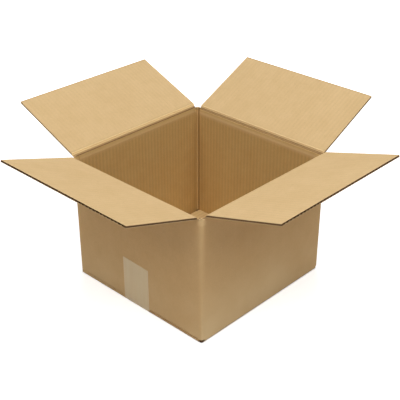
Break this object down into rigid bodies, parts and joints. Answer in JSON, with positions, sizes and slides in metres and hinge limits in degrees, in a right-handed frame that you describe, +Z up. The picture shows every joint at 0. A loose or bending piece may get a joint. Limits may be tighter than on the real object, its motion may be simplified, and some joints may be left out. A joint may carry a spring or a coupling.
{
  "type": "open corrugated cardboard box",
  "caption": "Slotted carton of corrugated board, open at the top, with hinged closing flaps spread outwards and a taped floor.",
  "frame": {"origin": "middle of the underside, on the floor side of the tape under the bottom seam", "axes": "+Z up, +X along the taped bottom seam, -Y through the front wall with an outer flap"},
  "size_m": [0.4835, 0.4842, 0.2471],
  "materials": {
    "board": "matt brown kraft liner",
    "tape": "clear film over kraft board"
  },
  "bodies": {
    "carton": {"carton_body": "board", "bottom_tape": "tape"},
    "front_flap": {"front_flap": "board"},
    "right_flap": {"right_flap": "board"},
    "back_flap": {"back_flap": "board"},
    "left_flap": {"left_flap": "board"}
  },
  "joints": [
    {"name": "front_flap_fold", "type": "hinge", "parent": "carton", "child": "front_flap", "pos_m": [0, -0.1255, 0.1938], "axis": [1, 0, 0], "range_deg": [-163.1, 101.9]},
    {"name": "right_flap_fold", "type": "hinge", "parent": "carton", "child": "right_flap", "pos_m": [0.127, 0, 0.1906], "axis": [0, 1, 0], "range_deg": [-154.3, 110.7]},
    {"name": "back_flap_fold", "type": "hinge", "parent": "carton", "child": "back_flap", "pos_m": [0, 0.1255, 0.1938], "axis": [-1, 0, 0], "range_deg": [-157.6, 107.4]},
    {"name": "left_flap_fold", "type": "hinge", "parent": "carton", "child": "left_flap", "pos_m": [-0.127, 0, 0.1906], "axis": [0, -1, 0], "range_deg": [-161.8, 103.2]}
  ]
}
